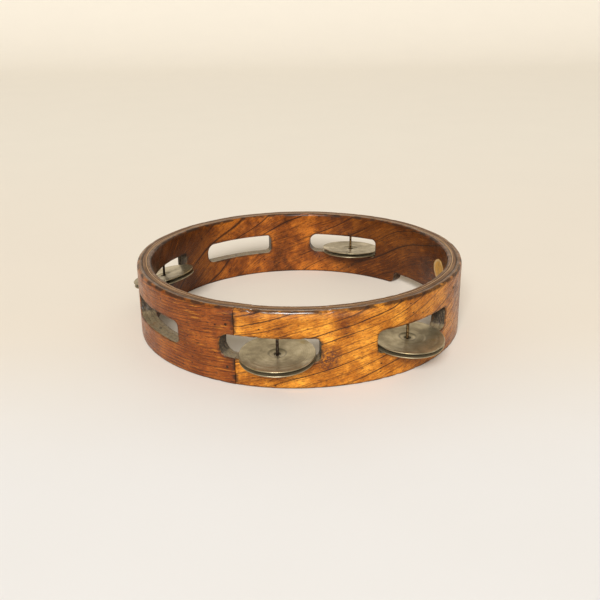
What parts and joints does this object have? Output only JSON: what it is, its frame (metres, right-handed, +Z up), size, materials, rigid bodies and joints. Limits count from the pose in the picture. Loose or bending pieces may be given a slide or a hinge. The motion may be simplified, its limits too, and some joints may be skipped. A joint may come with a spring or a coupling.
{
  "type": "tambourine",
  "caption": "Headless wooden tambourine: a bent three-ply hoop with routed slots, pairs of dished metal jingles on steel pins, and a hand-hold notch.",
  "frame": {"origin": "on the hoop's axis, in the plane of the face it rests on", "axes": "+Z up along the hoop's axis, -Y towards the front slot, +X to the right seen from the front, where the hand-hold notch is"},
  "size_m": [0.2682, 0.2837, 0.0556],
  "materials": {
    "outer_wood": "bent ash or oak ply, glossy aged varnish, worn dark edges",
    "middle_wood": "bent ply, seen only at the edges, darkened",
    "inner_wood": "bent ply, dark varnish",
    "jingle_metal": "tarnished nickel silver sheet, satin",
    "pin_steel": "darkened wire nail",
    "tack_steel": "rusted tack heads",
    "label_face": "aged paper label, blank"
  },
  "bodies": {
    "rim": {"outer_ply": "outer_wood", "middle_ply": "middle_wood", "inner_ply": "inner_wood", "rim_tacks": "tack_steel", "oval_label": "label_face", "pin_front": "pin_steel", "pin_front_right": "pin_steel", "pin_rear_right": "pin_steel", "pin_side_left": "pin_steel"},
    "lower_jingle_front": {"lower_jingle_front": "jingle_metal"},
    "upper_jingle_front": {"upper_jingle_front": "jingle_metal"},
    "lower_jingle_front_right": {"lower_jingle_front_right": "jingle_metal"},
    "upper_jingle_front_right": {"upper_jingle_front_right": "jingle_metal"},
    "lower_jingle_rear_right": {"lower_jingle_rear_right": "jingle_metal"},
    "upper_jingle_rear_right": {"upper_jingle_rear_right": "jingle_metal"},
    "lower_jingle_side_left": {"lower_jingle_side_left": "jingle_metal"},
    "upper_jingle_side_left": {"upper_jingle_side_left": "jingle_metal"}
  },
  "joints": [
    {"name": "slide_lower_jingle_front", "type": "slide", "parent": "rim", "child": "lower_jingle_front", "axis": [0, 0, 1], "range_m": [0, 0.00537]},
    {"name": "slide_upper_jingle_front", "type": "slide", "parent": "lower_jingle_front", "child": "upper_jingle_front", "axis": [0, 0, 1], "range_m": [0, 0.00537]},
    {"name": "slide_lower_jingle_front_right", "type": "slide", "parent": "rim", "child": "lower_jingle_front_right", "axis": [0, 0, 1], "range_m": [0, 0.00537]},
    {"name": "slide_upper_jingle_front_right", "type": "slide", "parent": "lower_jingle_front_right", "child": "upper_jingle_front_right", "axis": [0, 0, 1], "range_m": [0, 0.00537]},
    {"name": "slide_lower_jingle_rear_right", "type": "slide", "parent": "rim", "child": "lower_jingle_rear_right", "axis": [0, 0, 1], "range_m": [0, 0.00537]},
    {"name": "slide_upper_jingle_rear_right", "type": "slide", "parent": "lower_jingle_rear_right", "child": "upper_jingle_rear_right", "axis": [0, 0, 1], "range_m": [0, 0.00537]},
    {"name": "slide_lower_jingle_side_left", "type": "slide", "parent": "rim", "child": "lower_jingle_side_left", "axis": [0, 0, 1], "range_m": [0, 0.0043]},
    {"name": "slide_upper_jingle_side_left", "type": "slide", "parent": "lower_jingle_side_left", "child": "upper_jingle_side_left", "axis": [0, 0, 1], "range_m": [0, 0.0043]}
  ]
}
